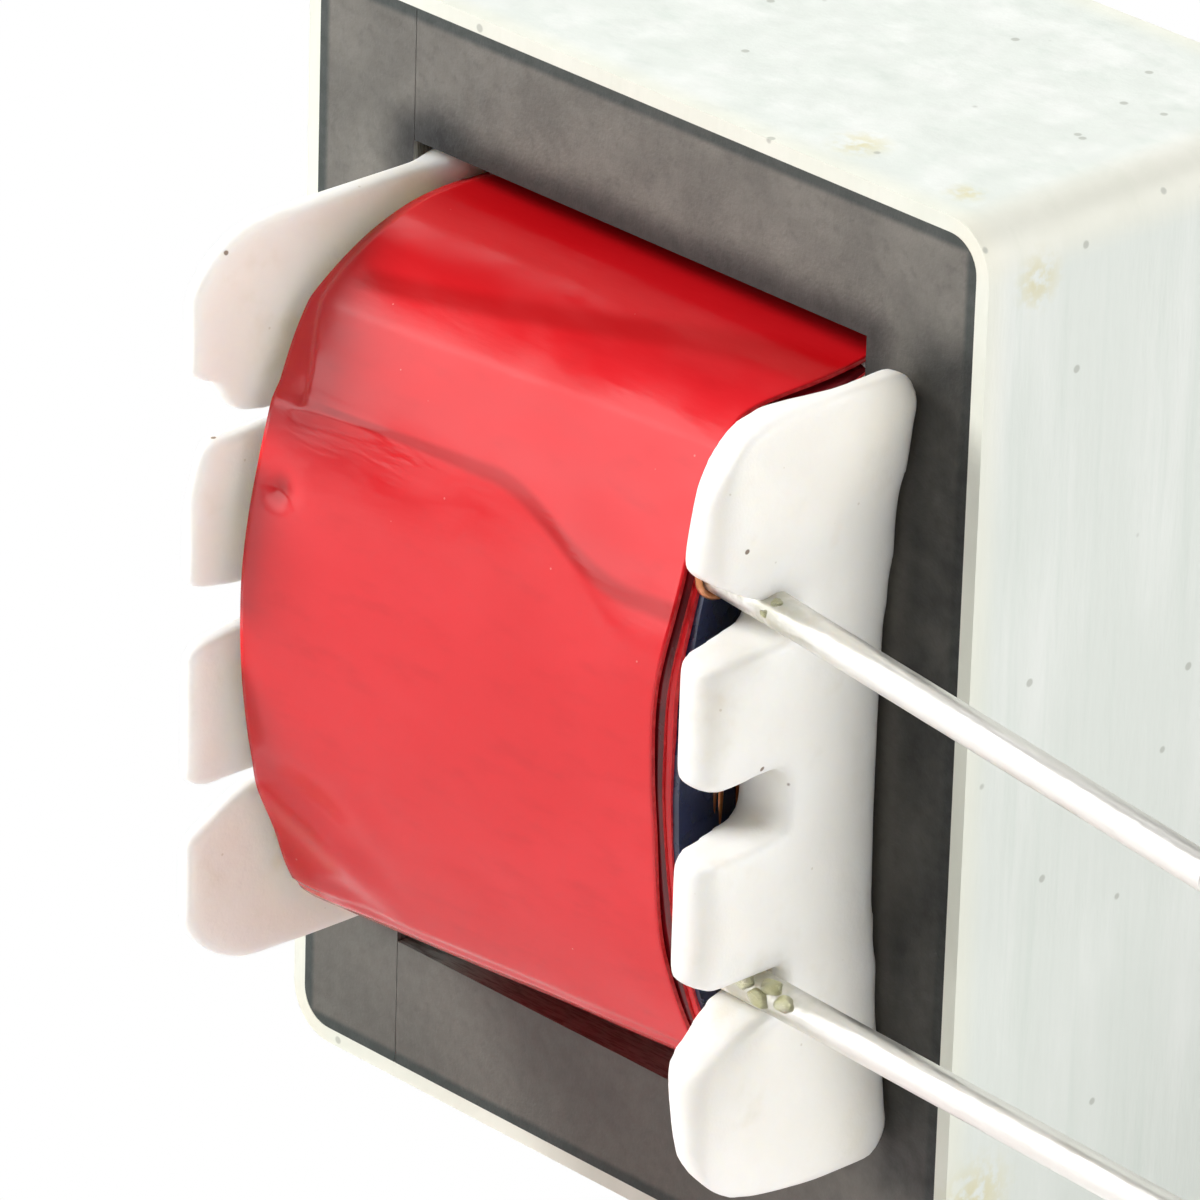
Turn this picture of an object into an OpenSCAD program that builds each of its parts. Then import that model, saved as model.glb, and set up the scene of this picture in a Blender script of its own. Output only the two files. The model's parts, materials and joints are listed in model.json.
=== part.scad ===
// Small laminated-core board transformer: stacked E and I plates, a moulded bobbin with
// notched flanges, a taped winding and four round wire pins. A band holds the stack, and
// the part lies on one outer leg.
// X runs along the bobbin, the pins leave towards +X, Z is up, Y runs through the stack.

/* [Core] */
// Height of the core across its three legs
core_h = 14; // [13.5:0.5:16]
// Width of the core, back of the E to back of the I
core_w = 11; // [10.5:0.5:13]
// Width of an outer leg, of the E back and of the I plate, as a share of the height
leg_share = 0.12; // [0.11:0.005:0.13]
// Thickness of one plate
plate_t = 0.5; // [0.35:0.05:0.6]
// Corner radius of the plates
plate_r = 0.45; // [0.2:0.05:0.8]
// Joint left between the E legs and the I plate
butt_gap = 0.01; // [0.01:0.01:0.05]
// Thickness of the band around the edges of the stack
band_t = 0.2; // [0.1:0.05:0.4]

/* [Bobbin] */
// Room between the centre leg and the tube, towards the outer legs
leg_room = 0.25; // [0.23:0.01:0.3]
// Room between the stack faces and the tube
stack_room = 0.1; // [0.05:0.01:0.2]
// Height at which the bobbin sits above the middle of the centre leg
bobbin_lift = 0.22; // [0:0.01:0.22]
// Wall of the tube
tube_wall = 0.4; // [0.35:0.05:0.5]
// Flange thickness inside the core windows
flange_t = 0.6; // [0.5:0.05:0.8]
// Room between the flange and the E back or I plate
end_room = 0.05; // [0.03:0.01:0.15]
// Room between the flange edge and the outer legs
window_room = 0.3; // [0.25:0.01:0.4]
// Room between the terminal rail and the face of the stack
rail_room = 0.06; // [0.04:0.01:0.15]
// Rail thickness beside the stack face, at mid height
rail_t = 1.25; // [1:0.05:1.4]
// Extra rail thickness at its two ends
rail_bow = 0.3; // [0.3:0.05:0.4]
// Rounding along the ends of the rail
rail_round = 0.4; // [0.2:0.05:0.5]
// Reach of the pin flange's lobes beyond the stack face
lobe_reach = 3; // [2.8:0.1:3.4]
// Thickness of these lobes at their tips
lobe_tip_t = 0.75; // [0.6:0.05:0.85]
// Lean of the outer face of the pin flange, in mm over the reach
lobe_lean = 0.22; // [0:0.02:0.28]
// Distance from the stack face to the floor of a notch
notch_floor = 1.65; // [1.5:0.05:1.9]
// Width of a notch in the pin flange
notch_w = 0.87; // [0.8:0.01:0.95]
// Reach of the plain flange's lobes beyond the stack face
plain_reach = 3.7; // [3.4:0.1:4]
// Thickness of the plain flange at its tips
plain_tip_t = 0.5; // [0.4:0.05:0.6]
// Width of a notch in the plain flange
plain_notch_w = 0.55; // [0.45:0.05:0.8]
// Outer corner radius of the end lobes, as a share of their width
end_lobe_round = 0.58; // [0.3:0.02:0.6]
// Corner radius of the other lobes, as a share of their width
lobe_round = 0.14; // [0.05:0.01:0.2]

/* [Winding] */
// Room between the winding and the flange edges
winding_sink = 0.2; // [0.15:0.05:0.4]
// Share of the copper build-up that is the first winding
primary_share = 0.48; // [0.4:0.02:0.6]
// Thickness of the insulation between the windings
interlayer_t = 0.1; // [0.05:0.05:0.15]
// Thickness of the dark tape around the second winding
inner_tape_t = 0.15; // [0.1:0.01:0.2]
// Thickness of the red tape, all turns together
outer_tape_t = 0.2; // [0.14:0.01:0.22]
// Depth to which the dark tape folds down over the winding ends
fold_depth = 1.1; // [0.6:0.1:1.3]
// Thickness of the folded edges
fold_t = 0.08; // [0.05:0.01:0.12]
// Room between the winding and the flanges
winding_room = 0.05; // [0.03:0.01:0.1]
// Build-up in front of the stack, against that beside the centre leg
front_ratio = 0.97; // [0.9:0.01:0.98]
// Radius of the bulging faces of the winding
winding_r = 8; // [7.5:0.5:12]
// Corner radius of the finished winding
winding_corner_r = 3.3; // [3:0.1:3.4]
// Corner radius of the tube under it
tube_corner_r = 0.2; // [0.15:0.05:0.25]
// Widening of the winding towards the pin flange over each mm beyond the stack face
winding_flare = 0.1; // [0:0.01:0.12]
// Angle by which the winding stands higher at the plain flange
winding_taper = 5.5; // [0:0.5:6]

/* [Pins] */
// Diameter of a pin
pin_d = 0.42; // [0.36:0.01:0.46]
// Thickness of the solder on a pin's tail, which thins out along the pin
solder_t = 0.02; // [0.01:0.01:0.03]
// Length of the soldered stretch
solder_len = 1.9; // [1.8:0.1:2.2]
// Length of a pin
pin_len = 9.2; // [7:0.1:12]
// Angle at which the upper pins lean away from the stack
upper_splay = 8.5; // [0:0.5:10]
// Angle at which the lower pins lean away from the stack
lower_splay = 3; // [0:0.5:10]
// Height of the upper pins above the middle of their notch
upper_shift = 0.06; // [-0.18:0.02:0.18]
// Height of the lower pins above the middle of their notch
lower_shift = 0.18; // [-0.18:0.02:0.18]
// Diameter of the winding wire
wire_d = 0.09; // [0.06:0.01:0.1]

/* [Hidden] */
eps = 0.01;
$fn = 96;
plates = 12;
leg_w = leg_share * core_h;
stack_t = plates * plate_t;
face_y = stack_t / 2;
mid_z = core_h / 2 + band_t;
window_h = (core_h - 4 * leg_w) / 2;
window_x = core_w / 2 - leg_w;
window_z = core_h / 2 - leg_w;
leg_len = core_w - 2 * leg_w - butt_gap;
bob_z = mid_z + bobbin_lift;

bore_z = leg_w + leg_room;
bore_y = face_y + stack_room;
tube_z = bore_z + tube_wall;
tube_y = bore_y + tube_wall;
flange_out = window_x - end_room;
flange_in = flange_out - flange_t;
flange_z = window_z - window_room;
rail_out = flange_in + rail_t;
tip_out = rail_out + lobe_lean;
tip_in = tip_out - lobe_tip_t;
lean_angle = atan(lobe_lean / lobe_reach);
end_lean = atan((rail_bow - lobe_lean) / (lobe_reach - lobe_tip_t / 2));
bow_r = (flange_z * flange_z + rail_bow * rail_bow) / (2 * rail_bow);
tip_y = face_y + lobe_reach;
plain_y = face_y + plain_reach;
notch_pitch = flange_z / 2;
plain_in = flange_out - plain_tip_t;
floor_y = face_y + notch_floor;
upper_z = notch_pitch + upper_shift;
lower_z = -notch_pitch + lower_shift;
wind_in = flange_in - winding_room;
tube_d = stack_room + tube_wall;
build = flange_z - tube_z - winding_sink;
copper_t = build - interlayer_t - inner_tape_t - outer_tape_t;
t1 = primary_share * copper_t;
t2 = t1 + interlayer_t;
t3 = build - outer_tape_t - inner_tape_t;
t4 = build - outer_tape_t;
t5 = build;
pin_r = pin_d / 2;
root_r = pin_r + solder_t;
// the pin's tail stands beside the winding and lies on the floor of its notch
lead_r = root_r + wire_d;
pin_x = wind_in + winding_flare * (notch_floor + root_r + lead_r) + winding_room
    + lead_r * sin(max(upper_splay, lower_splay));
pin_y = floor_y + root_r + eps;

E_NODES = ["e_plate_01", "e_plate_02", "e_plate_03", "e_plate_04", "e_plate_05", "e_plate_06",
    "e_plate_07", "e_plate_08", "e_plate_09", "e_plate_10", "e_plate_11", "e_plate_12"];
I_NODES = ["i_plate_01", "i_plate_02", "i_plate_03", "i_plate_04", "i_plate_05", "i_plate_06",
    "i_plate_07", "i_plate_08", "i_plate_09", "i_plate_10", "i_plate_11", "i_plate_12"];
OTHER_NODES = ["core_band", "bobbin", "primary_winding", "interlayer", "secondary_winding", "inner_tape",
    "outer_tape", "pin_1", "pin_2", "pin_3", "pin_4", "lead_1", "lead_2", "lead_3", "lead_4"];

// ---- core plates -------------------------------------------------------------------

// outline in (z, x) of a bar with its two outer corners rounded; the outer side is at +x
module bar_outline(depth) {
    translate([-core_h / 2 + plate_r, -depth]) square([core_h - 2 * plate_r, depth]);
    translate([-core_h / 2, -depth]) square([core_h, depth - plate_r]);
    for (s = [-1, 1]) translate([s * (core_h / 2 - plate_r), -plate_r]) circle(plate_r);
}

module e_outline() {
    translate([0, core_w / 2]) bar_outline(leg_w);
    for (z = [-core_h / 2, -leg_w, core_h / 2 - leg_w])
        translate([z, core_w / 2 - leg_w - leg_len])
            square([z == -leg_w ? 2 * leg_w : leg_w, leg_len + eps]);
}

module i_outline() {
    translate([0, core_w / 2]) bar_outline(leg_w);
}

// puts an outline drawn in (z, x) into layer k of the stack, counted from the front
module layer(k, to_plus_x) {
    translate([0, -face_y + k * plate_t, mid_z])
        mirror([to_plus_x ? 0 : 1, 0, 0])
            rotate([0, -90, -90]) linear_extrude(plate_t) children();
}

module e_plate(k) {
    color([0.42, 0.41, 0.38]) layer(k - 1, k % 2 == 1) e_outline();
}

module i_plate(k) {
    color([0.42, 0.41, 0.38]) layer(k - 1, k % 2 == 0) i_outline();
}

// outline in (z, x) around the stack, grown by t
module stack_outline(t, r) {
    square([core_h + 2 * (t - r), core_w + 2 * t], center = true);
    square([core_h + 2 * t, core_w + 2 * (t - r)], center = true);
    for (z = [-1, 1], x = [-1, 1])
        translate([z * (core_h / 2 + t - r), x * (core_w / 2 + t - r)]) circle(r);
}

// one band round the four edges of the stack, flush with its faces
module core_band() {
    color([0.86, 0.87, 0.84]) translate([0, -face_y, mid_z]) rotate([0, -90, -90])
        linear_extrude(stack_t) difference() {
            stack_outline(band_t, plate_r + band_t);
            stack_outline(0, plate_r * 0.95);
        }
}

// ---- bobbin ------------------------------------------------------------------------

// lobe in (y, z) from y0 to its tip at y1, between z0 and z1, with its two tip corners rounded
module lobe(y0, y1, z0, z1, r0, r1) {
    translate([y0, z0 + r0]) square([y1 - y0, z1 - z0 - r0 - r1]);
    translate([y0, z0]) square([y1 - y0 - r0, r0 + eps]);
    translate([y0, z1 - r1 - eps]) square([y1 - y0 - r1, r1 + eps]);
    translate([y1 - r0, z0 + r0]) circle(r0);
    translate([y1 - r1, z1 - r1]) circle(r1);
}

// edge of a flange in front of the stack: a rail with four lobes
module flange_edge(tip, gap) {
    half = gap / 2;
    y0 = floor_y - eps;
    end_w = flange_z - notch_pitch - half;
    mid_w = notch_pitch - gap;
    translate([face_y - eps, -flange_z]) square([notch_floor + eps, 2 * flange_z]);
    for (m = [0, 1]) mirror([0, m]) {
        lobe(y0, tip, notch_pitch + half, flange_z, end_w * (0.8 - end_lobe_round), end_w * end_lobe_round);
        lobe(y0, tip, half, notch_pitch - half, mid_w * lobe_round, mid_w * lobe_round);
    }
}

// plan in (x, y) of the pin flange beyond the stack face: thick at the rail, thin at the lobes
module pin_flange_plan() {
    r = lobe_tip_t / 2;
    polygon([
        [flange_in, face_y + rail_room],
        [rail_out + rail_bow, face_y + rail_room],
        [tip_out, tip_y - r],
        [tip_in, tip_y - r],
        [flange_in, face_y + 2 * rail_room]
    ]);
    translate([tip_out - r, tip_y - r]) circle(r);
}

module pin_flange_outside() {
    difference() {
        intersection() {
            linear_extrude(3 * flange_z, center = true) pin_flange_plan();
            rotate([90, 0, 90]) linear_extrude(2 * core_w) flange_edge(tip_y, notch_w);
            // rounded ends of the rail, along the outer face of the end lobes
            translate([rail_out + rail_bow + 3 * eps, face_y, 0]) rotate([0, 0, end_lean])
                rotate([90, 0, 0]) linear_extrude(3 * lobe_reach, center = true) rail_end();
        }
        // hollow outer face
        translate([rail_out, face_y, 0]) rotate([0, 0, -lean_angle]) translate([bow_r, 0, 0])
            rotate([-90, 0, 0]) cylinder(h = 3 * lobe_reach, r = bow_r, center = true, $fn = 720);
    }
}

// section in (x, z) of the rail with its outer corners rounded, measured from the outer face
module rail_end() {
    h = flange_z;
    r = rail_round;
    translate([-core_w, -h + r]) square([core_w, 2 * (h - r)]);
    translate([-core_w, -h]) square([core_w - r, 2 * h]);
    for (z = [-1, 1]) translate([-r, z * (h - r)]) circle(r);
}

// plan in (x, y) of the plain flange beyond the stack face
module plain_flange_plan() {
    r = plain_tip_t / 2;
    polygon([
        [flange_in, face_y],
        [flange_out, face_y],
        [flange_out, plain_y - r],
        [plain_in, plain_y - r],
        [flange_in, face_y + 2 * rail_room]
    ]);
    translate([flange_out - r, plain_y - r]) circle(r);
}

module plain_flange_outside() {
    intersection() {
        linear_extrude(3 * flange_z, center = true) plain_flange_plan();
        rotate([90, 0, 90]) linear_extrude(2 * core_w) flange_edge(plain_y, plain_notch_w);
    }
}

module flange_inside() {
    translate([flange_in, -face_y - 2 * rail_room, -flange_z])
        cube([flange_t, stack_t + 4 * rail_room, 2 * flange_z]);
}

module bobbin() {
    color([0.9, 0.89, 0.86]) translate([0, 0, bob_z]) difference() {
        union() {
            translate([-flange_in - eps, -tube_y, -tube_z])
                cube([2 * flange_in + 2 * eps, 2 * tube_y, 2 * tube_z]);
            for (m = [0, 1]) mirror([m, 0, 0]) flange_inside();
            for (m = [0, 1]) mirror([0, m, 0]) {
                pin_flange_outside();
                mirror([1, 0, 0]) plain_flange_outside();
            }
        }
        translate([-core_w, -bore_y, -bore_z]) cube([2 * core_w, 2 * bore_y, 2 * bore_z]);
    }
}

// ---- winding -----------------------------------------------------------------------

// outline in (y, z) of the winding when its build-up on the tube is t
module build_outline(t) {
    reach = face_y + tube_d + front_ratio * t;
    h = tube_z + t;
    r = tube_corner_r + (winding_corner_r - tube_corner_r) * t / build;
    front_r = winding_r - front_ratio * (build - t);
    intersection() {
        union() {
            square([2 * (reach - r), 2 * h], center = true);
            square([2 * reach, 2 * (h - r)], center = true);
            for (y = [-1, 1], z = [-1, 1]) translate([y * (reach - r), z * (h - r)]) circle(r);
        }
        translate([front_r - reach, 0]) circle(front_r, $fn = 240);
        translate([reach - front_r, 0]) circle(front_r, $fn = 240);
    }
}

// solid of the winding up to a build-up of t, higher at the plain flange, front and back alike
module built_up(t) {
    for (m = [0, 1]) mirror([0, m, 0]) intersection() {
        rotate([0, 0, winding_taper]) rotate([90, 0, 90])
            linear_extrude(2 * core_w, center = true) build_outline(t);
        translate([-core_w, -2 * tip_y, -core_h]) cube([2 * core_w, 2 * tip_y, 2 * core_h]);
    }
}

// room between the flanges, narrower by cut on each side
module between_flanges(cut) {
    w = wind_in - cut;
    top = w + winding_flare * lobe_reach;
    translate([0, 0, -core_h]) linear_extrude(2 * core_h) polygon([
        [-w, -2 * tip_y], [top + winding_flare * tip_y, -2 * tip_y + face_y], [w, -face_y],
        [w, face_y], [top + winding_flare * tip_y, 2 * tip_y - face_y], [-w, 2 * tip_y]
    ]);
}

module ring(t_in, t_out, cut) {
    translate([0, 0, bob_z]) difference() {
        intersection() {
            built_up(t_out);
            between_flanges(cut);
        }
        if (t_in == 0) cube([4 * core_w, 2 * tube_y, 2 * tube_z], center = true);
        else built_up(t_in);
    }
}

module primary_winding() { color([0.72, 0.42, 0.25]) ring(0, t1, fold_t); }

module interlayer() { color([0.85, 0.7, 0.4]) ring(t1, t2, fold_t); }

module secondary_winding() { color([0.72, 0.42, 0.25]) ring(t2, t3, fold_t); }

module inner_tape() {
    color([0.08, 0.1, 0.22]) union() {
        ring(t3, t4, 0);
        difference() {
            ring(t4 - fold_depth, t3 + eps, 0);
            ring(t1 / 2, t3 + 2 * eps, fold_t);
        }
    }
}

module outer_tape() { color([0.8, 0.12, 0.14]) ring(t4, t5, 0); }

// ---- pins and leads ----------------------------------------------------------------

// frame of a pin: its axis along +Z, origin at its tail
module at_pin(z, splay, back) {
    mirror([0, back ? 0 : 1, 0]) translate([pin_x, pin_y, bob_z + z])
        rotate([0, 0, splay]) rotate([0, 90, 0]) children();
}

module pin(z, splay, back) {
    color([0.85, 0.85, 0.83]) at_pin(z, splay, back) rotate_extrude($fn = 48) polygon([
        [0, 0], [root_r, 0], [pin_r, solder_len], [pin_r, pin_len - solder_t],
        [pin_r - solder_t, pin_len], [0, pin_len]
    ]);
}

// end of the winding wire: a turn around the tail of the pin
module lead(z, splay, back) {
    color([0.75, 0.45, 0.3]) at_pin(z, splay, back) translate([0, 0, wire_d / 2])
        rotate_extrude($fn = 32) translate([root_r + wire_d / 2 + 0.002, 0])
            circle(wire_d / 2, $fn = 12);
}

module pin_1() { pin(upper_z, upper_splay, false); }
module pin_2() { pin(lower_z, lower_splay, false); }
module pin_3() { pin(upper_z, upper_splay, true); }
module pin_4() { pin(lower_z, lower_splay, true); }
module lead_1() { lead(upper_z, upper_splay, false); }
module lead_2() { lead(lower_z, lower_splay, false); }
module lead_3() { lead(upper_z, upper_splay, true); }
module lead_4() { lead(lower_z, lower_splay, true); }

core_band();
bobbin();
primary_winding();
interlayer();
secondary_winding();
inner_tape();
outer_tape();
pin_1();
pin_2();
pin_3();
pin_4();
lead_1();
lead_2();
lead_3();
lead_4();
e_plate(1);  // e_plate_01
e_plate(2);  // e_plate_02
e_plate(3);  // e_plate_03
e_plate(4);  // e_plate_04
e_plate(5);  // e_plate_05
e_plate(6);  // e_plate_06
e_plate(7);  // e_plate_07
e_plate(8);  // e_plate_08
e_plate(9);  // e_plate_09
e_plate(10);  // e_plate_10
e_plate(11);  // e_plate_11
e_plate(12);  // e_plate_12
i_plate(1);  // i_plate_01
i_plate(2);  // i_plate_02
i_plate(3);  // i_plate_03
i_plate(4);  // i_plate_04
i_plate(5);  // i_plate_05
i_plate(6);  // i_plate_06
i_plate(7);  // i_plate_07
i_plate(8);  // i_plate_08
i_plate(9);  // i_plate_09
i_plate(10);  // i_plate_10
i_plate(11);  // i_plate_11
i_plate(12);  // i_plate_12
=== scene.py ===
import json
import math
import bmesh
import bpy
from mathutils import Matrix, Vector, noise


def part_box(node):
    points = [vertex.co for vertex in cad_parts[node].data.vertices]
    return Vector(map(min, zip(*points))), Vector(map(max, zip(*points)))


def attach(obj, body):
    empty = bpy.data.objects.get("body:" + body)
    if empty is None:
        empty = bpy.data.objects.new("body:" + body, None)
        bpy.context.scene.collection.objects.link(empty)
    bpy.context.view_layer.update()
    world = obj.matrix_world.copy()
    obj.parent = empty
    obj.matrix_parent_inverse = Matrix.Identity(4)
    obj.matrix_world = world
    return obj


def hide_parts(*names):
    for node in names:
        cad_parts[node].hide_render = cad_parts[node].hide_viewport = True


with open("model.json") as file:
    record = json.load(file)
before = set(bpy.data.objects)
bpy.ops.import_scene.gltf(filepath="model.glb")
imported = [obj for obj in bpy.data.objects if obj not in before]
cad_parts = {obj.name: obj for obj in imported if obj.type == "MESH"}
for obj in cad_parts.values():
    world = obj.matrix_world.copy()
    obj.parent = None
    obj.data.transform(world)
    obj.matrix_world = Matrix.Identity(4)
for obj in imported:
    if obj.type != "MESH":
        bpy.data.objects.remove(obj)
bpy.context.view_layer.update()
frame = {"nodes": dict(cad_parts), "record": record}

# All lengths below are in mm, in the frame of the CAD, and MM turns them into metres.
MM = 0.001
NODES = frame["nodes"]
COLL = bpy.context.scene.collection
ZED = Vector((0, 0, 1))


def box(node):
    lo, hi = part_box(node)
    return Vector(lo) / MM, Vector(hi) / MM


def add(name, data):
    obj = bpy.data.objects.new(name, data)
    COLL.objects.link(obj)
    return obj


band_lo, band_hi = box("core_band")
MID = (band_lo.z + band_hi.z) / 2       # height of the core's middle
FACE = band_hi.y                        # front and back faces of the core are at -FACE and FACE
tape_lo, tape_hi = box("outer_tape")
TMID = (tape_lo.z + tape_hi.z) / 2      # height of the winding's middle
TOP = (tape_hi.z - tape_lo.z) / 2       # half the winding's height
bob_lo, bob_hi = box("bobbin")
PINS = [m for m in frame["record"]["mounts"] if m["kind"] == "pin"]

# ---------------------------------------------------------------- camera
AZIMUTH, ELEVATION, ROLL = (math.radians(degrees) for degrees in (45.983, 24.769, 1.712))
AIM = Vector((-0.376, -3.033, MID + 0.536))
DISTANCE = 118.22
LENS, SENSOR = 299.68, 36.0


def set_camera():
    forward = Vector((-math.sin(AZIMUTH) * math.cos(ELEVATION), math.cos(AZIMUTH) * math.cos(ELEVATION),
                      -math.sin(ELEVATION)))
    level_right = Vector((math.cos(AZIMUTH), math.sin(AZIMUTH), 0.0))
    level_up = level_right.cross(forward)
    right = level_right * math.cos(ROLL) + level_up * math.sin(ROLL)
    up = level_up * math.cos(ROLL) - level_right * math.sin(ROLL)
    data = bpy.data.cameras.new("camera")
    data.sensor_width = SENSOR
    data.lens = LENS
    data.clip_start = 0.001
    data.clip_end = 10.0
    cam = add("camera", data)
    turn = Matrix((right, up, -forward)).transposed().to_4x4()
    cam.matrix_world = Matrix.Translation((AIM - forward * DISTANCE) * MM) @ turn
    bpy.context.scene.camera = cam


set_camera()


# ---------------------------------------------------------------- shader helpers
class Shader:
    """A Principled material whose textures are laid out in millimetres of the CAD's frame."""

    def __init__(self, name, color, rough, metal=0.0, **sockets):
        self.mat = bpy.data.materials.new(name)
        self.mat.use_nodes = True
        self.nodes = self.mat.node_tree.nodes
        self.link = self.mat.node_tree.links.new
        self.inputs = self.nodes["Principled BSDF"].inputs
        self.inputs["Base Color"].default_value = (*color, 1)
        self.inputs["Roughness"].default_value = rough
        self.inputs["Metallic"].default_value = metal
        for socket, value in sockets.items():
            self.inputs[socket.replace("_", " ")].default_value = value
        coords = self.nodes.new("ShaderNodeTexCoord")
        self.place = self.scaled(coords.outputs["Object"], (1 / MM,) * 3)
        split = self.nodes.new("ShaderNodeSeparateXYZ")
        self.link(self.place, split.inputs[0])
        self.x, self.y, self.z = split.outputs

    def scaled(self, vector, scale):
        node = self.nodes.new("ShaderNodeMapping")
        node.inputs["Scale"].default_value = scale
        self.link(vector, node.inputs["Vector"])
        return node.outputs[0]

    def calc(self, operation, *values):
        """One math node; each value is a socket or a number."""
        node = self.nodes.new("ShaderNodeMath")
        node.operation = operation
        for socket, value in zip(node.inputs, values):
            if hasattr(value, "is_output"):
                self.link(value, socket)
            else:
                socket.default_value = value
        return node.outputs[0]

    def times(self, *masks):
        product = masks[0]
        for mask in masks[1:]:
            product = self.calc("MULTIPLY", product, mask)
        return product

    def away(self, value, centre=0.0):
        """Distance of a value from a centre."""
        return self.calc("ABSOLUTE", self.calc("SUBTRACT", value, centre))

    def noise(self, scale, detail=3.0, stretch=(1, 1, 1)):
        node = self.nodes.new("ShaderNodeTexNoise")
        node.inputs["Scale"].default_value = scale
        node.inputs["Detail"].default_value = detail
        self.link(self.scaled(self.place, stretch), node.inputs["Vector"])
        return node.outputs[0]

    def specks(self, scale, size):
        node = self.nodes.new("ShaderNodeTexVoronoi")
        node.inputs["Scale"].default_value = scale
        self.link(self.place, node.inputs["Vector"])
        return self.ramp(node.outputs["Distance"], size * 0.6, size, 1, 0)

    def ramp(self, value, start, end, low=0.0, high=1.0):
        """Goes smoothly from low to high while value goes from start to end."""
        node = self.nodes.new("ShaderNodeMapRange")
        node.interpolation_type = "SMOOTHSTEP"
        self.link(value, node.inputs[0])
        for i, setting in enumerate((start, end, low, high), start=1):
            node.inputs[i].default_value = setting
        return node.outputs[0]

    def near(self, *spots):
        """1 at the places (x, y, z, radius), falling to 0 at the radius; None leaves an axis out."""
        total = None
        for *centre, radius in spots:
            square = None
            for axis, at in zip((self.x, self.y, self.z), centre):
                if at is None:
                    continue
                term = self.calc("POWER", self.away(axis, at), 2.0)
                square = term if square is None else self.calc("ADD", square, term)
            spot = self.ramp(self.calc("SQRT", square), 0.0, radius, 1, 0)
            total = spot if total is None else self.calc("MAXIMUM", total, spot)
        return total

    def tint(self, mask, color, amount=1.0):
        """Mixes a colour over the base, by the mask."""
        node = self.nodes.new("ShaderNodeMix")
        node.data_type = "RGBA"
        base = self.inputs["Base Color"]
        if base.links:
            self.link(base.links[0].from_socket, node.inputs["A"])
        else:
            node.inputs["A"].default_value = base.default_value[:]
        node.inputs["B"].default_value = (*color, 1)
        self.link(self.times(mask, amount), node.inputs["Factor"])
        self.link(node.outputs["Result"], base)

    def rough(self, texture, low, high):
        self.link(self.ramp(texture, 0.3, 0.7, low, high), self.inputs["Roughness"])

    def bump(self, height, depth):
        """Adds relief from a texture, depth in mm."""
        node = self.nodes.new("ShaderNodeBump")
        node.inputs["Distance"].default_value = depth * MM
        node.inputs["Strength"].default_value = 1.0
        self.link(height, node.inputs["Height"])
        normal = self.inputs["Normal"]
        if normal.links:
            self.link(normal.links[0].from_socket, node.inputs["Normal"])
        self.link(node.outputs[0], normal)


# ---------------------------------------------------------------- places on the part
BAND = 0.2                              # thickness of the core's band
PIN_SIDE = 4.2                          # the painted shadow of the pin flange on the core starts here
WINDOW_CORNER_X, WINDOW_CORNER_Z = -3.4, TMID + 5.2
DIMPLE_X, DIMPLE_Z = -2.79, 1.77        # dent in the film, height from the winding's middle


# ---------------------------------------------------------------- materials
def core_face():
    s = Shader("core_face", (0.128, 0.120, 0.104), 0.6, IOR=1.45)
    s.tint(s.ramp(s.noise(1.1, 4), 0.35, 0.68), (0.172, 0.161, 0.139))
    s.tint(s.ramp(s.noise(7.0, 3), 0.45, 0.8), (0.09, 0.084, 0.074), 0.5)
    # painted shade: darker towards the bottom; and a dark greenish line along the rim
    s.tint(s.ramp(s.z, MID + 4, 0.0), (0.095, 0.09, 0.078), 0.55)
    from_side = s.calc("SUBTRACT", band_hi.x - BAND, s.away(s.x))
    from_top = s.calc("SUBTRACT", band_hi.z - MID - BAND, s.away(s.z, MID))
    rim = s.ramp(s.calc("MINIMUM", from_side, from_top), 0.1, 0.2, 1, 0)
    s.tint(rim, (0.02, 0.032, 0.030), 0.8)
    # painted shadow: near black beside the pin flange, where the flange shades the core, patchy through a
    # noise; and painted shade along the edge of the window
    rise = s.away(s.z, TMID)
    beside = s.times(s.ramp(s.x, PIN_SIDE, PIN_SIDE + 0.6), s.ramp(rise, 5.9, 5.1))
    patchy_shadow = s.ramp(s.noise(0.9, 2), 0.30, 0.62, 1.0, 0.72)
    s.tint(s.times(beside, patchy_shadow), (0.013, 0.013, 0.012), 0.92)
    along = s.times(s.ramp(rise, TOP + 0.85, TOP + 0.35), s.ramp(s.away(s.x), 4.6, 3.9))
    s.tint(along, (0.014, 0.013, 0.012), 0.85)
    # painted shade in the window's upper left corner
    s.tint(s.near((WINDOW_CORNER_X, None, WINDOW_CORNER_Z, 0.9)), (0.006, 0.006, 0.006), 0.9)
    s.rough(s.noise(5.0, 4), 0.45, 0.7)
    s.bump(s.noise(22.0, 3), 0.006)
    return s.mat


def core_edge():
    s = Shader("core_edge", (0.40, 0.40, 0.38), 0.35, 0.9)
    s.tint(s.ramp(s.noise(4.0, 3, (1, 8, 1)), 0.4, 0.7), (0.2, 0.19, 0.17))
    s.bump(s.noise(14.0, 2, (1, 6, 1)), 0.008)
    return s.mat


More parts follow.
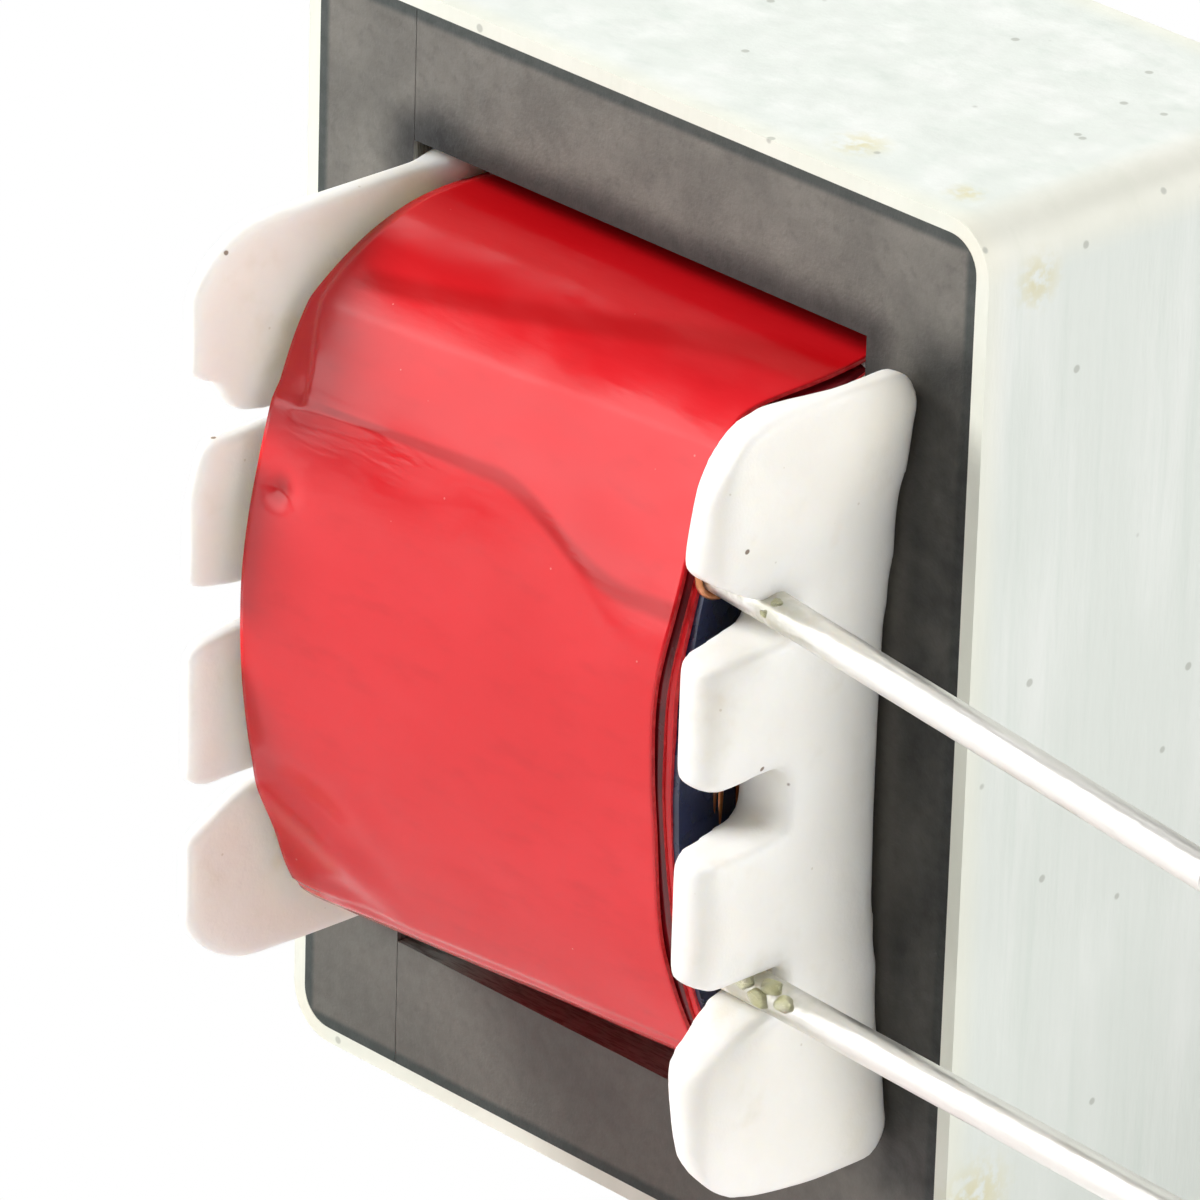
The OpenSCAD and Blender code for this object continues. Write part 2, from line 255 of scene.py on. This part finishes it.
def band_metal():
    s = Shader("band_metal", (0.70, 0.735, 0.685), 0.42, IOR=1.5)
    s.tint(s.ramp(s.noise(0.8, 4, (1.6, 1.6, 0.25)), 0.4, 0.75), (0.78, 0.80, 0.76))
    # faint streaks along the band
    s.tint(s.ramp(s.noise(2.2, 3, (1.0, 2.0, 0.08)), 0.5, 0.8), (0.60, 0.66, 0.60), 0.4)
    # cream along the edges and at the corners
    from_edge = s.calc("SUBTRACT", FACE, s.away(s.y))
    s.tint(s.ramp(from_edge, 0.0, 0.45, 1, 0), (0.80, 0.79, 0.66), 0.55)
    corner = s.times(s.ramp(s.away(s.x), band_hi.x - 0.8, band_hi.x - 0.3),
                     s.ramp(s.away(s.z, MID), band_hi.z - MID - 0.8, band_hi.z - MID - 0.3))
    s.tint(corner, (0.84, 0.80, 0.66), 0.5)
    # varnish stains and specks
    stains = s.near((2.9, -2.3, band_hi.z, 0.5), (4.7, -2.4, band_hi.z, 0.35),
                    (-1.2, 1.0, band_hi.z, 0.6), (band_hi.x, -2.5, 2.0, 0.8),
                    (band_hi.x, -2.2, 13.6, 0.5), (1.0, 2.2, 0.0, 0.8))
    s.tint(s.times(stains, s.ramp(s.noise(6.0, 3), 0.35, 0.6)), (0.62, 0.55, 0.24), 0.6)
    s.tint(s.specks(1.4, 0.09), (0.35, 0.36, 0.31), 0.6)
    s.rough(s.noise(3.0, 4), 0.34, 0.52)
    s.bump(s.noise(9.0, 3, (1, 1, 0.2)), 0.006)
    return s.mat


def nylon():
    s = Shader("nylon", (0.84, 0.825, 0.785), 0.38, IOR=1.5, Subsurface_Weight=0.6,
               Subsurface_Radius=(0.9 * MM, 0.8 * MM, 0.65 * MM), Subsurface_Scale=1.0)
    s.tint(s.ramp(s.noise(0.9, 3), 0.4, 0.75), (0.87, 0.86, 0.825))
    s.tint(s.ramp(s.noise(1.6, 4), 0.55, 0.8), (0.76, 0.73, 0.65), 0.7)
    # painted shade: yellower and a little darker in the depth beside the winding, near the core's face
    s.tint(s.ramp(s.away(s.y), FACE + 2.6, FACE + 0.2), (0.78, 0.75, 0.67), 0.5)
    s.tint(s.specks(1.1, 0.045), (0.16, 0.10, 0.06), 0.9)
    s.tint(s.specks(2.3, 0.05), (0.55, 0.50, 0.40), 0.5)
    s.rough(s.noise(4.0, 4), 0.28, 0.46)
    s.bump(s.noise(3.0, 3), 0.015)
    s.bump(s.noise(30.0, 2), 0.002)
    return s.mat


def red_film():
    s = Shader("red_film", (0.70, 0.008, 0.013), 0.15, IOR=1.47)
    # painted sheen: paler red in broad, soft patches
    s.tint(s.ramp(s.noise(0.55, 3, (0.5, 1, 1)), 0.4, 0.75), (0.74, 0.016, 0.024), 0.8)
    s.tint(s.ramp(s.noise(3.2, 4, (0.4, 1, 1)), 0.5, 0.8), (0.56, 0.006, 0.010), 0.35)
    s.tint(s.specks(2.2, 0.035), (0.80, 0.25, 0.22), 0.6)
    # painted shade: deeper red over the top, along the crease, along the bend above it and in the dimple
    rise = s.calc("SUBTRACT", s.z, TMID)
    s.tint(s.ramp(rise, 4.1, 4.5), (0.50, 0.003, 0.006), 0.6)
    front = s.ramp(s.y, -FACE + 0.5, -FACE)
    off_crease = s.away(rise, s.ramp(s.x, 0.2, 2.6, 2.84, 2.10))
    half_width = s.ramp(s.x, -2.6, 1.6, 0.06, 0.17)
    crease = s.ramp(s.calc("DIVIDE", off_crease, half_width), 1.0, 0.25)
    crease = s.times(crease, s.ramp(s.x, -2.7, -2.2))
    off_bend = s.away(rise, s.ramp(s.x, -3.6, 3.4, 4.16, 4.62))
    bend_shade = s.times(s.ramp(off_bend, 0.13, 0.03), s.ramp(s.x, -2.9, -2.6))
    s.tint(s.times(s.calc("MAXIMUM", crease, bend_shade), front), (0.46, 0.001, 0.003), 0.85)
    dimple = s.near((DIMPLE_X, None, TMID + DIMPLE_Z, 0.27))
    s.tint(s.times(dimple, front), (0.40, 0.001, 0.003), 0.95)
    s.rough(s.noise(2.4, 4, (0.4, 1, 1)), 0.12, 0.24)
    s.bump(s.noise(1.3, 3, (0.35, 1, 1)), 0.010)
    s.bump(s.noise(16.0, 2, (0.3, 1, 1)), 0.0012)
    return s.mat


def red_film_painted_shade():
    """The turn of film under the outer one: a darker copy of the red film, with its shade painted in."""
    s = Shader("red_film_painted_shade", (0.11, 0.003, 0.006), 0.22, IOR=1.5)
    s.tint(s.ramp(s.noise(1.4, 3), 0.4, 0.75), (0.22, 0.004, 0.008), 0.8)
    s.rough(s.noise(2.4, 3), 0.16, 0.3)
    s.bump(s.noise(1.8, 3, (0.35, 1, 1)), 0.010)
    return s.mat


def red_edge():
    s = Shader("red_edge", (0.46, 0.008, 0.012), 0.3, IOR=1.6)
    s.tint(s.ramp(s.noise(12.0, 2), 0.4, 0.7), (0.66, 0.05, 0.05), 0.6)
    s.bump(s.noise(25.0, 2), 0.004)
    return s.mat


def navy_film():
    s = Shader("navy_film", (0.008, 0.014, 0.050), 0.25, IOR=1.6)
    s.tint(s.ramp(s.noise(1.5, 3), 0.4, 0.7), (0.012, 0.022, 0.075))
    s.rough(s.noise(3.0, 3), 0.2, 0.36)
    s.bump(s.noise(2.5, 3), 0.012)
    return s.mat


def copper():
    """Turns side by side, as bands across the winding."""
    s = Shader("copper", (0.52, 0.19, 0.085), 0.3, 1.0)
    wave = s.nodes.new("ShaderNodeTexWave")
    wave.bands_direction = "Y"
    wave.inputs["Scale"].default_value = 3.4
    wave.inputs["Distortion"].default_value = 0.6
    s.link(s.place, wave.inputs["Vector"])
    # painted shade: dark in the grooves between the turns
    s.tint(s.ramp(wave.outputs["Fac"], 0.25, 0.0), (0.10, 0.03, 0.012), 0.9)
    s.tint(s.ramp(s.noise(6.0, 2), 0.45, 0.7), (0.70, 0.33, 0.17), 0.6)
    s.bump(wave.outputs["Fac"], 0.03)
    return s.mat


def wire():
    s = Shader("enamelled_wire", (0.55, 0.22, 0.10), 0.28, 1.0)
    s.tint(s.ramp(s.noise(10.0, 2), 0.4, 0.7), (0.75, 0.36, 0.22), 0.7)
    s.bump(s.noise(30.0, 2), 0.004)
    return s.mat


def tin():
    s = Shader("tinned_wire", (0.80, 0.785, 0.745), 0.34, 0.9)
    s.tint(s.ramp(s.noise(3.0, 3, (0.4, 1, 1)), 0.45, 0.8), (0.70, 0.68, 0.63), 0.5)
    # dull, greenish near the flange
    root = s.ramp(s.x, bob_hi.x + 1.5, bob_hi.x - 0.6)
    s.tint(s.times(root, s.ramp(s.noise(3.5, 3), 0.3, 0.6)), (0.46, 0.45, 0.36), 0.8)
    s.rough(s.noise(6.0, 3, (0.3, 1, 1)), 0.28, 0.42)
    s.bump(s.noise(10.0, 3, (0.25, 1, 1)), 0.008)
    return s.mat


def flux():
    s = Shader("flux", (0.88, 0.87, 0.50), 0.08, IOR=1.5, Transmission_Weight=0.85)
    s.tint(s.ramp(s.noise(5.0, 3), 0.35, 0.7), (0.92, 0.91, 0.74))
    s.bump(s.noise(7.0, 3), 0.02)
    return s.mat


MAKERS = (core_face, core_edge, band_metal, nylon, red_film, red_film_painted_shade, red_edge, navy_film, copper, wire,
          tin, flux)
MAT = {maker.__name__: maker() for maker in MAKERS}


def set_materials(mesh, *names):
    mesh.materials.clear()
    for name in names:
        mesh.materials.append(MAT[name])


# ---------------------------------------------------------------- finishes of the CAD solids
FINISH = {"bobbin": "nylon", "core_band": "band_metal", "inner_tape": "navy_film", "pin": "tin",
          "lead": "wire"}


def finish_of(node):
    """Material of a node, by its name without its number; the windings and the rest are copper."""
    return FINISH.get(node, FINISH.get(node.split("_")[0], "copper"))


def dress_solids():
    for node, obj in NODES.items():
        mesh = obj.data
        if "plate" in node:
            set_materials(mesh, "core_face", "core_edge")
            for face in mesh.polygons:
                face.material_index = 0 if abs(face.normal.y) > 0.5 else 1
        else:
            set_materials(mesh, finish_of(node))
        if node == "core_band" or node.startswith("pin"):
            for face in mesh.polygons:
                face.use_smooth = True


def round_band_edges():
    bevel = NODES["core_band"].modifiers.new("bevel", "BEVEL")
    bevel.width = 0.05 * MM
    bevel.segments = 3
    bevel.limit_method = "ANGLE"
    bevel.angle_limit = math.radians(40)


dress_solids()
round_band_edges()


# ---------------------------------------------------------------- curves that the forms below share
def smooth(value, start, end):
    """0 before start, 1 after end, and smooth between them."""
    t = min(1.0, max(0.0, (value - start) / (end - start)))
    return t * t * (3 - 2 * t)


def hill(offset, width):
    return math.exp(-(offset / width) ** 2)


# ---------------------------------------------------------------- bobbin moulding
FLANGE_X = 2.9                  # the flanges lie beyond this, on both sides
PIN_FLANGE_OUTSIDE = 4.78       # the end lobes are drawn towards this, just outside the solid
PLAIN_FLANGE_OUTSIDE = bob_lo.x
NOTCH_PITCH = (bob_hi.z - bob_lo.z) / 4
NOTCH_HALF = 0.28
LOBE_START = 2.78               # the plain flange's end lobes start here, from the middle
VOXEL = 0.085


def pin_flange_form(x, z, reach, rise, sign, root):
    """The end lobes are thin towards the winding, above all at their roots."""
    ends = smooth(abs(rise), 3.0, 4.7)
    if x < PIN_FLANGE_OUTSIDE:
        x += (PIN_FLANGE_OUTSIDE - x) * (0.74 - 0.50 * smooth(reach, 1.0, 2.5)) * ends * root
    z -= sign * 0.12 * ends * smooth(PIN_FLANGE_OUTSIDE - x, 0.1, 0.9) * root
    swell = 0.06 * math.cos(rise * 2 * math.pi / NOTCH_PITCH + math.pi) * smooth(reach, 1.6, 2.6)
    x += swell * smooth(x, 4.2, 4.7)
    return x, z


def plain_flange_form(x, y, z, reach, rise, side, root):
    """The flange is thin all over, and its middle lobes have slanted tips."""
    x = PLAIN_FLANGE_OUTSIDE + (x - PLAIN_FLANGE_OUTSIDE) * (1 - 0.42 * root)
    tip = smooth(reach, 2.7, 3.7)
    if rise > 0:
        z -= 0.12 * smooth(rise, 2.6, 5.0) * root
    else:
        z += 0.24 * smooth(-rise, 2.6, 5.0) * root
    if rise > 2.7:
        z += 0.22 * max(0.0, 1 - (rise - LOBE_START) / 1.2) * root
    elif 0 < rise:
        y -= side * 0.22 * tip * smooth(rise, 1.1, 2.2)
        z += 0.12 * tip * max(0.0, 1 - (rise - NOTCH_HALF) / 0.8)
    elif rise >= -2.7:
        y -= side * 0.03 * tip
        z -= 0.1 * tip * max(0.0, 1 - (-rise - NOTCH_HALF) / 0.8)
    return x, y, z


def soft_form(x, y, z):
    """Moves a point of the sharp-edged moulding to where its soft lobes have it."""
    reach = abs(y) - FACE
    rise = z - TMID
    side = 1 if y > 0 else -1
    sign = 1 if rise > 0 else -1
    if x > FLANGE_X and abs(rise) > 4.2:
        z -= sign * 0.30 * smooth(abs(rise), 4.2, 5.0) * smooth(reach, 0.3, -0.1)
    if reach < -0.3:
        return x, y, z
    root = smooth(reach, -0.3, 0.15)
    if x > FLANGE_X:
        x, z = pin_flange_form(x, z, reach, rise, sign, root)
    elif x < -FLANGE_X:
        x, y, z = plain_flange_form(x, y, z, reach, rise, side, root)
    # the smoothing took the lobes' tips in; they go back out, never past the solid's own
    y = side * min(abs(y) + 0.09 * smooth(reach, 1.4, 2.9), bob_hi.y - 0.01)
    return x, y, z


def applied(obj):
    """Puts the result of an object's modifiers in place of its mesh."""
    graph = bpy.context.evaluated_depsgraph_get()
    mesh = bpy.data.meshes.new_from_object(obj.evaluated_get(graph))
    obj.modifiers.clear()
    obj.data = mesh
    return mesh


def add_smoothing(obj, rounds):
    modifier = obj.modifiers.new("smooth", "SMOOTH")
    modifier.factor = 0.5
    modifier.iterations = rounds


def make_moulding():
    obj = add("bobbin_moulding", NODES["bobbin"].data.copy())
    remesh = obj.modifiers.new("remesh", "REMESH")
    remesh.mode = "VOXEL"
    remesh.voxel_size = VOXEL * MM
    add_smoothing(obj, 10)
    mesh = applied(obj)
    for vertex in mesh.vertices:
        vertex.co = Vector(soft_form(*(vertex.co / MM))) * MM
    add_smoothing(obj, 5)
    mesh = applied(obj)
    set_materials(mesh, "nylon")
    for face in mesh.polygons:
        face.material_index = 0
        face.use_smooth = True
    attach(obj, "root")
    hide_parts("bobbin")


make_moulding()


# ---------------------------------------------------------------- red film
SLOPE = math.radians(5.5)       # the winding is higher at the plain flange
CORNER, BULGE = 3.3, 8.0        # radii of the winding's corners and of its front
REACH = -tape_lo.y * math.cos(SLOPE) + tape_lo.x * math.sin(SLOPE)
FILM_LEFT = tape_lo.x - 0.08
FILM_RIGHT = -tape_lo.x - 0.02  # the right end at the core's face
FLARE = 0.1                     # how it widens from there, for each mm outwards
PLEAT_X, PLEAT_Z = -2.6, 2.75   # small pleat at the upper left
CRUMPLE_X, CRUMPLE_Z = -2.6, -2.9       # crumpled corner at the lower left
FLAP_STEPS = ((-3.75, 0.035), (-4.15, 0.03))    # height and depth of the turns' free ends
OPEN_END = 0.72                 # how much further the right end reaches at the top
BACK_UP = -9.0                  # height that stands for the back, where the right end doesn't open


def evenly(points, count):
    """Points at even distances along a line through the given ones."""
    run = [0.0]
    for p, q in zip(points, points[1:]):
        run.append(run[-1] + math.dist(p, q))
    result = []
    k = 0
    for i in range(count):
        t = run[-1] * i / (count - 1)
        while run[k + 1] < t - 1e-9 and k < len(run) - 2:
            k += 1
        part = (t - run[k]) / (run[k + 1] - run[k])
        p, q = points[k], points[k + 1]
        result.append((p[0] + part * (q[0] - p[0]), p[1] + part * (q[1] - p[1])))
    return result


def profile(count):
    """Outline in (out, up) of the front half, from the seam on top to the one below."""
    half = TOP - CORNER
    flat = REACH - CORNER
    upper = [(flat * i / 60, TOP) for i in range(60)]
    for i in range(90):
        angle = math.pi / 2 * i / 90
        upper.append((flat + CORNER * math.sin(angle), half + CORNER * math.cos(angle)))
    upper += [(REACH, half - half * i / 40) for i in range(41)]
    upper = [(min(out, REACH - BULGE + math.sqrt(BULGE ** 2 - up * up)), up) for out, up in upper]
    return evenly(upper + [(out, -up) for out, up in upper[-2::-1]], count)


def outward(points):
    """Direction square to the line at each of its points."""
    result = []
    for i in range(len(points)):
        p = points[max(0, i - 1)]
        q = points[min(len(points) - 1, i + 1)]
        along = Vector((q[0] - p[0], q[1] - p[1])).normalized()
        result.append((-along.y, along.x))
    return result


def front_relief(x, up):
    """Crease, dimple, pleat and crumpled corner of the visible side."""
    crease = 3.4 - 1.94 * smooth(x, 0.2, 2.9)
    h = 0.060 * hill(up - crease, 0.8)
    h -= 0.050 * hill(math.hypot(x - DIMPLE_X, up - DIMPLE_Z), 0.2)
    # the last turn ends short of the edge, along a slanted fold
    if up > 2.7:
        edge = -3.05 + 0.34 * smooth(up, 4.3, 2.8)
        h -= 0.06 * smooth(edge - x, -0.02, 0.05) * smooth(up, 2.7, 3.0)
    pleat = hill(up - PLEAT_Z - 0.06 * (x - PLEAT_X), 0.07)
    h += 0.03 * pleat * smooth(x, -1.2, -2.4) * smooth(x, -2.95, -2.7)
    crumple = smooth(x, -0.9, -2.4) * smooth(up, -1.6, -2.5) * smooth(up, -4.2, -3.4)
    slant = (x - CRUMPLE_X) * 0.75 + (up - CRUMPLE_Z)
    h += crumple * (0.028 * math.sin(slant * 4.6) + 0.02 * math.sin((x * 1.2 - up) * 3.1))
    return h


def relief(x, out, up, front):
    """Height of the film's folds, dents and layers over its smooth form."""
    seed = 0 if front else 40
    h = 0.010 * noise.noise((x * 0.35 + seed, out * 0.5, up * 0.5))
    h += 0.012 * noise.noise((x * 0.9 + seed, out * 1.3, up * 1.3 + 9))
    if front:
        h += front_relief(x, up)
    for place, depth in FLAP_STEPS:
        h -= depth * smooth(up, place + 0.04, place - 0.04)
    return h - 0.03


def outer_trim(up):
    """How far the right end stands back; near the top the film opens and reaches out instead."""
    return 0.16 + 0.03 * math.sin(up * 2.1) - OPEN_END * smooth(up, 4.2, 4.85)


def middle_trim(up):
    return 0.07 + 0.02 * math.sin(up * 1.7 + 1) - OPEN_END * smooth(up, 2.7, 3.7)


def lower_trim(up):
    return 0.0


def film_y(x, out, moved):
    """Distance from the plane y = 0, where the front and the back half meet at the seams."""
    return (moved / math.cos(SLOPE) - x * math.tan(SLOPE)) * smooth(out, 0.0, 0.6)


def film_verts(columns, rows, inset, thick, trim):
    points = profile(rows)
    normals = outward(points)
    loop = [(False, i) for i in range(rows)] + [(True, i) for i in range(rows - 2, 0, -1)]
    verts = []
    for layer in (0, 1):
        for j in range(columns + 1):
            for back, i in loop:
                out, up = points[i]
                edge = FILM_RIGHT + FLARE * max(0.0, out - FACE) - trim(BACK_UP if back else up)
                x = FILM_LEFT + (edge - FILM_LEFT) * j / columns
                h = relief(x, out, up, not back) - inset - layer * thick
                y = film_y(x, out, out + normals[i][0] * h)
                verts.append(Vector((x, y if back else -y, TMID + up + normals[i][1] * h)) * MM)
    return verts


def film_faces(columns, around):
    """Outer and inner faces, and then the two rims, for two layers of rings of around points."""
    layer = (columns + 1) * around
    sheets = []
    rims = []
    for j in range(columns):
        for i in range(around):
            after = (i + 1) % around
            a, b = j * around + i, j * around + after
            c, d = a + around, b + around
            sheets.append((a, c, d, b))
            sheets.append((layer + a, layer + b, layer + d, layer + c))
    for j, flip in ((0, False), (columns, True)):
        for i in range(around):
            a, b = j * around + i, j * around + (i + 1) % around
            rim = (a, b, layer + b, layer + a)
            rims.append(rim[::-1] if flip else rim)
    return sheets, rims


def film(name, columns, rows, inset, thick, trim, finish="red_film"):
    """One closed turn of film, thick deep, its outside inset from the winding's form."""
    sheets, rims = film_faces(columns, 2 * rows - 2)
    mesh = bpy.data.meshes.new(name)
    mesh.from_pydata(film_verts(columns, rows, inset, thick, trim), [], sheets + rims)
    mesh.update()
    set_materials(mesh, finish, "red_edge")
    for i, face in enumerate(mesh.polygons):
        face.material_index = int(i >= len(sheets))
        face.use_smooth = i < len(sheets)
    obj = add(name, mesh)
    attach(obj, "root")
    return obj


outer = film("red_film_outer", 120, 300, 0.0, 0.05, outer_trim)
film("red_film_middle", 60, 200, 0.085, 0.035, middle_trim, "red_film_painted_shade")
film("red_film_lower", 60, 200, 0.13, 0.06, lower_trim)
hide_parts("outer_tape")


# ---------------------------------------------------------------- wire ends, flux and turns
STRAND_R = 0.035
TURN_R = 0.045
LOOP_R = 0.28                   # the strand's turns round the pin's tail
LOOP_ANGLES = (0.3, 1.2, 2.1, 3.0)
PIN_X_EXTRA = 0.07              # what the pin's width adds to its box along x


def smooth_piece(name, mesh, finish):
    set_materials(mesh, finish)
    for face in mesh.polygons:
        face.use_smooth = True
    obj = add(name, mesh)
    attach(obj, "root")


def wire_piece(name, points, radius):
    curve = bpy.data.curves.new(name, "CURVE")
    curve.dimensions = "3D"
    spline = curve.splines.new("NURBS")
    spline.points.add(len(points) - 1)
    for control, point in zip(spline.points, points):
        control.co = (*(Vector(point) * MM), 1)
    spline.order_u = 4
    spline.use_endpoint_u = True
    curve.resolution_u = 8
    curve.bevel_depth = radius * MM
    curve.bevel_resolution = 3
    curve.use_fill_caps = True
    guide = add(name + "_guide", curve)
    graph = bpy.context.evaluated_depsgraph_get()
    mesh = bpy.data.meshes.new_from_object(guide.evaluated_get(graph))
    bpy.data.objects.remove(guide)
    mesh.name = name
    smooth_piece(name, mesh, "wire")


def drop(name, centre, size, seed):
    """A small uneven drop of flux, size along x, y and z."""
    ball = bmesh.new()
    bmesh.ops.create_icosphere(ball, subdivisions=4, radius=1.0)
    for vertex in ball.verts:
        x, y, z = vertex.co
        swell = 1 + 0.22 * noise.noise(vertex.co * 1.3 + Vector((seed, 0, 0)))
        vertex.co = (Vector((x * size[0], y * size[1], z * size[2])) * swell + centre) * MM
    mesh = bpy.data.meshes.new(name)
    ball.to_mesh(mesh)
    ball.free()
    smooth_piece(name, mesh, "flux")


def pin_tail(mount):
    """Tail end and direction of a pin, worked out from its free end."""
    axis = Vector(mount["axis"]).normalized()
    low, high = box("pin_1")
    length = (high.x - low.x - PIN_X_EXTRA) / abs(Vector(PINS[0]["axis"]).normalized().x)
    return Vector(mount["pos_m"]) / MM - axis * length, axis


def wire_end(name, tail, axis, out):
    """A strand turned round the tail, which then goes down to the winding."""
    start = tail + axis * 0.05
    points = [start + out * LOOP_R * math.cos(t) + ZED * LOOP_R * math.sin(t) for t in LOOP_ANGLES]
    points.append(start - out * 0.5 + ZED * 0.10)
    points.append(start - out * 0.95 + ZED * 0.35)
    points.append(start - out * 1.3 + ZED * 0.5 - axis * 0.12)
    wire_piece(name, points, STRAND_R)


def flux_drops(pin, tail, axis, out):
    """Drops along the pin beside the flange, more and larger ones on the lower pin."""
    count, width = (5, 0.18) if tail.z < TMID else (4, 0.12)
    for i in range(count):
        along = 0.60 + 0.24 * i + 0.06 * ((i * 7) % 3)
        w = width - 0.012 * i
        centre = tail + axis * along + out * (0.15 - 0.05 * (i % 2)) + ZED * (0.15 - 0.07 * (i % 3))
        drop("flux_%d_%d" % (pin, i + 1), centre, (w * 1.25, w * 0.8, w * 0.75), 3.1 * i + 11 * (pin - 1))


def middle_turns(name, side):
    """A few turns of the winding show beside the dark tape in the middle notch."""
    for i in range(3):
        y = side * (FACE + 1.62 + 0.11 * i)
        points = [(3.32, y, TMID - 0.75), (3.37, y, TMID - 0.2), (3.37, y + 0.01 * side, TMID + 0.3),
                  (3.32, y, TMID + 0.75)]
        wire_piece("turn_%s_%d" % (name, i + 1), points, TURN_R)


for number, mount in enumerate(PINS, start=1):
    tail, axis = pin_tail(mount)
    out = Vector((0, -1 if tail.y < 0 else 1, 0))
    wire_end("wire_end_%d" % number, tail, axis, out)
    flux_drops(number, tail, axis, out)
middle_turns("front", -1)
middle_turns("back", 1)


# ---------------------------------------------------------------- floor and light
def make_floor():
    """A pale floor, which the camera sees as plain white."""
    mesh = bpy.data.meshes.new("floor")
    mesh.from_pydata([(-1, -1, 0), (1, -1, 0), (1, 1, 0), (-1, 1, 0)], [], [(0, 1, 2, 3)])
    mat = bpy.data.materials.new("floor")
    mat.use_nodes = True
    nodes = mat.node_tree.nodes
    link = mat.node_tree.links.new
    surface = nodes["Principled BSDF"]
    surface.inputs["Base Color"].default_value = (0.92, 0.92, 0.92, 1)
    surface.inputs["Roughness"].default_value = 0.8
    path = nodes.new("ShaderNodeLightPath")
    white = nodes.new("ShaderNodeEmission")
    mix = nodes.new("ShaderNodeMixShader")
    link(path.outputs["Is Camera Ray"], mix.inputs[0])
    link(surface.outputs[0], mix.inputs[1])
    link(white.outputs[0], mix.inputs[2])
    link(mix.outputs[0], nodes["Material Output"].inputs[0])
    mesh.materials.append(mat)
    add("floor", mesh)


def make_world(strength):
    world = bpy.data.worlds.new("world")
    bpy.context.scene.world = world
    world.use_nodes = True
    background = world.node_tree.nodes["Background"]
    background.inputs["Color"].default_value = (1, 1, 1, 1)
    background.inputs["Strength"].default_value = strength


def area(name, azimuth, elevation, distance, wide, tall, radiance):
    """A lamp aimed at the part, angles in degrees and sizes in m; its power follows from its brightness."""
    lamp = bpy.data.lights.new(name, "AREA")
    lamp.shape = "RECTANGLE"
    lamp.size = wide
    lamp.size_y = tall
    lamp.energy = radiance * math.pi * wide * tall
    obj = add(name, lamp)
    a, e = math.radians(azimuth), math.radians(elevation)
    aim = Vector((0, 0, MID * MM))
    towards = Vector((math.cos(a) * math.cos(e), math.sin(a) * math.cos(e), math.sin(e)))
    obj.location = aim + towards * distance
    obj.rotation_euler = (aim - obj.location).to_track_quat("-Z", "Y").to_euler()
    return obj


make_floor()
make_world(0.16)
# two softboxes that show in the gloss alone, a key that doesn't, and two fill lamps
area("front_left", -140, 27, 0.30, 0.42, 0.27, 2.9).visible_diffuse = False
area("back_left", 152, 45, 0.35, 0.16, 0.05, 1.8).visible_diffuse = False
area("key", -148, 31, 0.30, 0.13, 0.13, 23.0).visible_glossy = False
area("right", 30, 25, 0.30, 0.25, 0.20, 3.4)
area("above", 70, 66, 0.30, 0.26, 0.20, 2.2)

bpy.context.scene.view_settings.view_transform = "Standard"
